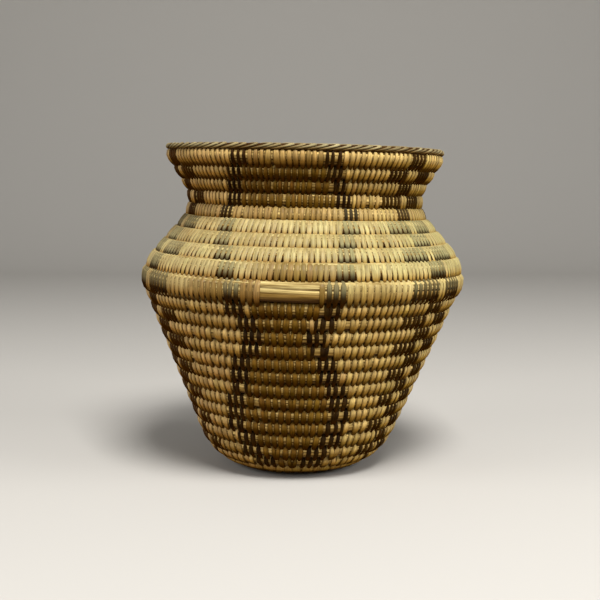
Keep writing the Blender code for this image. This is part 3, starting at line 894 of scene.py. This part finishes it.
class OLLA_OT_strips(bpy.types.Operator):
    """Sew every round of the coil with strips of split leaf, pale ones and dark ones"""

    bl_idname = "olla.strips"
    bl_label = "Sew the Strips"

    def execute(self, context):
        sewing = Sewing(Coil(), context.scene.olla_sewing)
        colours = context.scene.olla_colours
        # Split yucca leaf, dried in the sun: a soft gloss along its fibres, lighter where it has bleached
        pale = leaf_material(
            "split_yucca_leaf", colours, ("tan_leaf", "bleached_leaf", "brown_leaf", "underside_shade_leaf"),
            roughness=0.45, specular=0.18,
        )
        # Peeled seed pod of the devil's claw: black and smooth, greenish grey on top where the sun has
        # faded it, lightened further by a painted sheen of the light above
        dark = leaf_material(
            "devils_claw_pod", colours, ("dark_leaf", "faded_dark_and_sheen", "brown_dark", "dark_leaf"),
            roughness=0.6, specular=0.06, fibre_width=0.0005, bump=0.3,
        )
        for i in range(ROUNDS):
            which = (np.floor(sewing.turns) == i) & (sewing.band == "")
            sewing.sew("strips", name_of(i), which, pale)
        for band in sorted(set(sewing.band) - {""}):
            sewing.sew("dark_strips", band, sewing.band == band, dark)
        return {"FINISHED"}


class OLLA_OT_rim(bpy.types.Operator):
    """Overcast the rim with slanting strips"""

    bl_idname = "olla.rim"
    bl_label = "Overcast the Rim"

    def execute(self, context):
        sizes = context.scene.olla_sewing
        core = RimCore(Coil(), sizes)
        rng = np.random.default_rng(SEED)
        count = round(math.tau * MOUTH_RADIUS / sizes.rim_pitch)
        turns = ROUNDS - 1 + (np.arange(count) + rng.normal(0, SPREAD["place"], count)) / count
        width = sizes.rim_pitch * sizes.rim_share * rng.normal(1.0, RIM_SPREAD["width"], count)
        thickness = sizes.rim_thickness * rng.normal(1.0, RIM_SPREAD["thickness"], count)
        slant = sizes.rim_slant * rng.normal(1.0, RIM_SPREAD["slant"], count)
        points, polygons, plan, facts, smooth = wrap_strips(
            core, turns, width, thickness, slant, 0.0 * slant, sizes.strip_edge, 0.0, 0.0, stations=20
        )
        shade, brown = (rng.uniform(0, most, count)[:, None, None] for most in (1.0, 0.5))
        facts |= {"shade": shade, "bleach": shade * 0.1, "brown": brown, "tone": 0.5}
        # Split yucca, handled and weathered: greener and greyer than the wall's, with brown patches and
        # painted shade on the strips' lower parts
        material = leaf_material(
            "weathered_yucca_leaf", context.scene.olla_colours,
            ("rim_leaf", "bleached_leaf", "rim_brown_and_shade", "rim_brown_and_shade"), roughness=0.5, specular=0.12,
        )
        new_piece(
            "rim_strips", points, [polygons], [plan], facts, material, ["rim_overcast"], smooth
        )
        self.make_core(core)
        return {"FINISHED"}

    def make_core(self, core, steps=160, sides=10):
        """The bundle inside the rim, dark with painted shade: an ellipse round a point above the last
        round's top.

        Past the coil's end its lower half also reaches down over what the coil leaves open there.
        """
        above, half_width, half_height, passing = 0.0015, 0.0012, 0.0024, 0.01
        plan_step = np.array([0.001, 0.003])
        turns = ROUNDS - 1 + np.arange(steps) / steps
        angle = np.arange(sides) / sides * math.tau
        at = np.broadcast_to(turns[:, None], (steps, sides))
        below = core.coil.width(at) * np.clip((core.last_turn(at) - COIL_END) / passing + 1, 0, 1)
        onward = core.seat(at) + above - core.middle(at) - below / 2
        onward = onward + (half_height + below / 2) * np.sin(angle)
        points = core.place(at, half_width * np.cos(angle), onward)
        quads, rows_at, columns_at = grid(steps, sides, True)
        plan = np.stack([columns_at, rows_at], axis=-1) * plan_step
        # Painted shade: the whole core takes the darkest shade, as in the gaps between the rim's strips
        facts = {"valley": 1.0, "bleach": 0.0, "groove": 0.0}
        material = bpy.data.materials["dried_bear_grass"]
        new_piece("rim_core", points, [quads], [plan], facts, material, ["rim_overcast"])


def plaited_cushion(low, high, rows=41, sides=96):
    """Points of a plaited cushion that encloses a box, which of two strips is on top there, and its rise.

    It is a sphere rounded towards a drum: at a latitude b, out = radius |cos b|^0.45 and
    up = height / 2 |sin b|^0.6 with the sign of b. Two sets of strips cross on it, a pitch wide. The sign
    of sin(pi x / pitch) sin(pi y / pitch) says which is on top, and it rises by crown times
    |cos(pi x / pitch)| or |cos(pi y / pitch)|.
    """
    wider, higher, pitch, crown = 1.06, 0.0006, 0.0026, 0.0005
    latitude = np.linspace(-math.pi / 2, math.pi / 2, rows)[:, None]
    longitude = np.arange(sides)[None] / sides * math.tau
    out = (high.x - low.x) / 2 * wider * np.abs(np.cos(latitude)) ** 0.45
    x = out * np.cos(longitude)
    y = out * np.sin(longitude)
    tilt = np.sin(latitude)
    up = (high.z - low.z + higher) / 2 * np.sign(tilt) * np.abs(tilt) ** 0.6
    over = 0.5 + 0.5 * np.tanh(4 * np.sin(math.pi * x / pitch) * np.sin(math.pi * y / pitch))
    rise = over * np.abs(np.cos(math.pi * x / pitch)) + (1 - over) * np.abs(np.cos(math.pi * y / pitch))
    z = (low.z + high.z) / 2 + up + np.sign(up) * crown * rise * np.abs(tilt)
    return np.stack([x, y, set_down(z, 0.0003)], axis=-1), over, rise


class OLLA_OT_knot(bpy.types.Operator):
    """Plait the start knot in the middle of the base"""

    bl_idname = "olla.knot"
    bl_label = "Plait the Start Knot"

    def execute(self, context):
        points, over, rise = plaited_cushion(*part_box("start_knot"))
        quads, rows_at, columns_at = grid(*over.shape, False)
        plan_step = 0.0004
        plan = np.stack([columns_at, rows_at], axis=-1) * plan_step
        # Painted shade where the plait lies low between its crossings
        facts = {"valley": 0.5 - 0.5 * rise, "shade": over, "bleach": 0.2, "brown": 0.3 * over, "tone": 0.5}
        facts["edge"] = 0.0
        material = bpy.data.materials["split_yucca_leaf"]
        piece = new_piece(
            "plaited_knot", points, [quads[:, ::-1]], [plan], facts, material, ["start_knot"]
        )
        weld = piece.modifiers.new("poles", "WELD")
        weld.merge_threshold = 0.00001
        return {"FINISHED"}


class OLLA_OT_stage(bpy.types.Operator):
    """Set up the floor, the backdrop, the lamps and the camera"""

    bl_idname = "olla.stage"
    bl_label = "Set the Stage"

    def execute(self, context):
        self.make_sweep(paper_material(context.scene.olla_colours))
        self.make_lamps(context)
        self.make_camera(context)
        context.scene.view_settings.view_transform = "Standard"
        return {"FINISHED"}

    def make_sweep(self, material, half_width=3.0, front=-2.4, back=1.3, bend=0.7, high=2.6):
        """A sheet of paper: flat on the floor, round a quarter circle, then straight up behind."""
        quarter = np.linspace(0, math.pi / 2, 25)
        y = np.concatenate([[front], back + bend * np.sin(quarter), [back + bend]])
        z = np.concatenate([[0.0], bend * (1 - np.cos(quarter)), [high]])
        x = np.array([-half_width, half_width])
        points = np.stack([np.tile(x, len(y)), np.repeat(y, 2), np.repeat(z, 2)], axis=-1)
        row = np.arange(len(y) - 1)[:, None] * 2
        mesh = bpy.data.meshes.new("paper_sweep")
        mesh.from_pydata(points.tolist(), [], (row + np.array([0, 1, 3, 2])).tolist())
        mesh.shade_smooth()
        mesh.materials.append(material)
        new_object("paper_sweep", mesh)

    def make_lamps(self, context):
        """Softboxes above and on both sides, turned to the belly, and a weak even world."""
        target = np.array([0.0, 0.0, 0.10])
        for name, place, width, power in (
            ("softbox_above", (0.20, -0.75, 1.30), 0.5, 28.0),
            ("softbox_left", (-1.3, -0.55, 0.75), 0.7, 8.0),
            ("softbox_right", (1.3, -0.55, 0.75), 0.7, 11.0),
        ):
            lamp = bpy.data.lights.new(name, "AREA")
            lamp.shape = "SQUARE"
            lamp.size = width
            lamp.energy = power
            box = new_object(name, lamp)
            box.location = place
            away = np.array(place) - target
            box.rotation_euler = Euler((
                math.atan2(math.hypot(away[0], away[1]), away[2]), 0.0, math.atan2(away[0], -away[1])
            ))
        world = bpy.data.worlds.new("soft_room")
        world.use_nodes = True
        background = world.node_tree.nodes["Background"]
        background.inputs["Color"].default_value = (1.0, 1.0, 1.0, 1.0)
        background.inputs["Strength"].default_value = 0.2
        context.scene.world = world

    def make_camera(self, context):
        """The photograph's view: a 66 mm lens from just over the neck's height, looking slightly down."""
        lens = bpy.data.cameras.new("camera")
        lens.lens = 66.0
        lens.sensor_width = 36.0
        camera = new_object("camera", lens)
        camera.location = (0.0022, -0.66, 0.1712)
        camera.rotation_euler = Euler((math.radians(90 - 6.33), 0.0, 0.0))
        context.scene.camera = camera


OPERATORS = (OLLA_OT_bundle, OLLA_OT_strips, OLLA_OT_rim, OLLA_OT_knot, OLLA_OT_stage)


class OLLA_PT_panel(bpy.types.Panel):
    """The olla's sizes and colours, and the steps that make it"""

    bl_idname = "OLLA_PT_panel"
    bl_label = "Coiled Olla"
    bl_space_type = "VIEW_3D"
    bl_region_type = "UI"
    bl_category = "Olla"

    def draw(self, context):
        layout = self.layout
        for group in (context.scene.olla_sewing, context.scene.olla_colours):
            column = layout.column(align=True)
            for name in group.bl_rna.properties.keys():
                if name not in ("rna_type", "name"):
                    column.prop(group, name)
        for operator in OPERATORS:
            layout.operator(operator.bl_idname)


CLASSES = (OllaSewing, OllaColours, *OPERATORS, OLLA_PT_panel)


def register():
    for cls in CLASSES:
        bpy.utils.register_class(cls)
    bpy.types.Scene.olla_sewing = PointerProperty(type=OllaSewing)
    bpy.types.Scene.olla_colours = PointerProperty(type=OllaColours)


def unregister():
    del bpy.types.Scene.olla_colours
    del bpy.types.Scene.olla_sewing
    for cls in reversed(CLASSES):
        bpy.utils.unregister_class(cls)


def main():
    register()
    bpy.ops.olla.bundle()
    bpy.ops.olla.strips()
    bpy.ops.olla.rim()
    bpy.ops.olla.knot()
    bpy.ops.olla.stage()


if __name__ == "__main__":
    main()
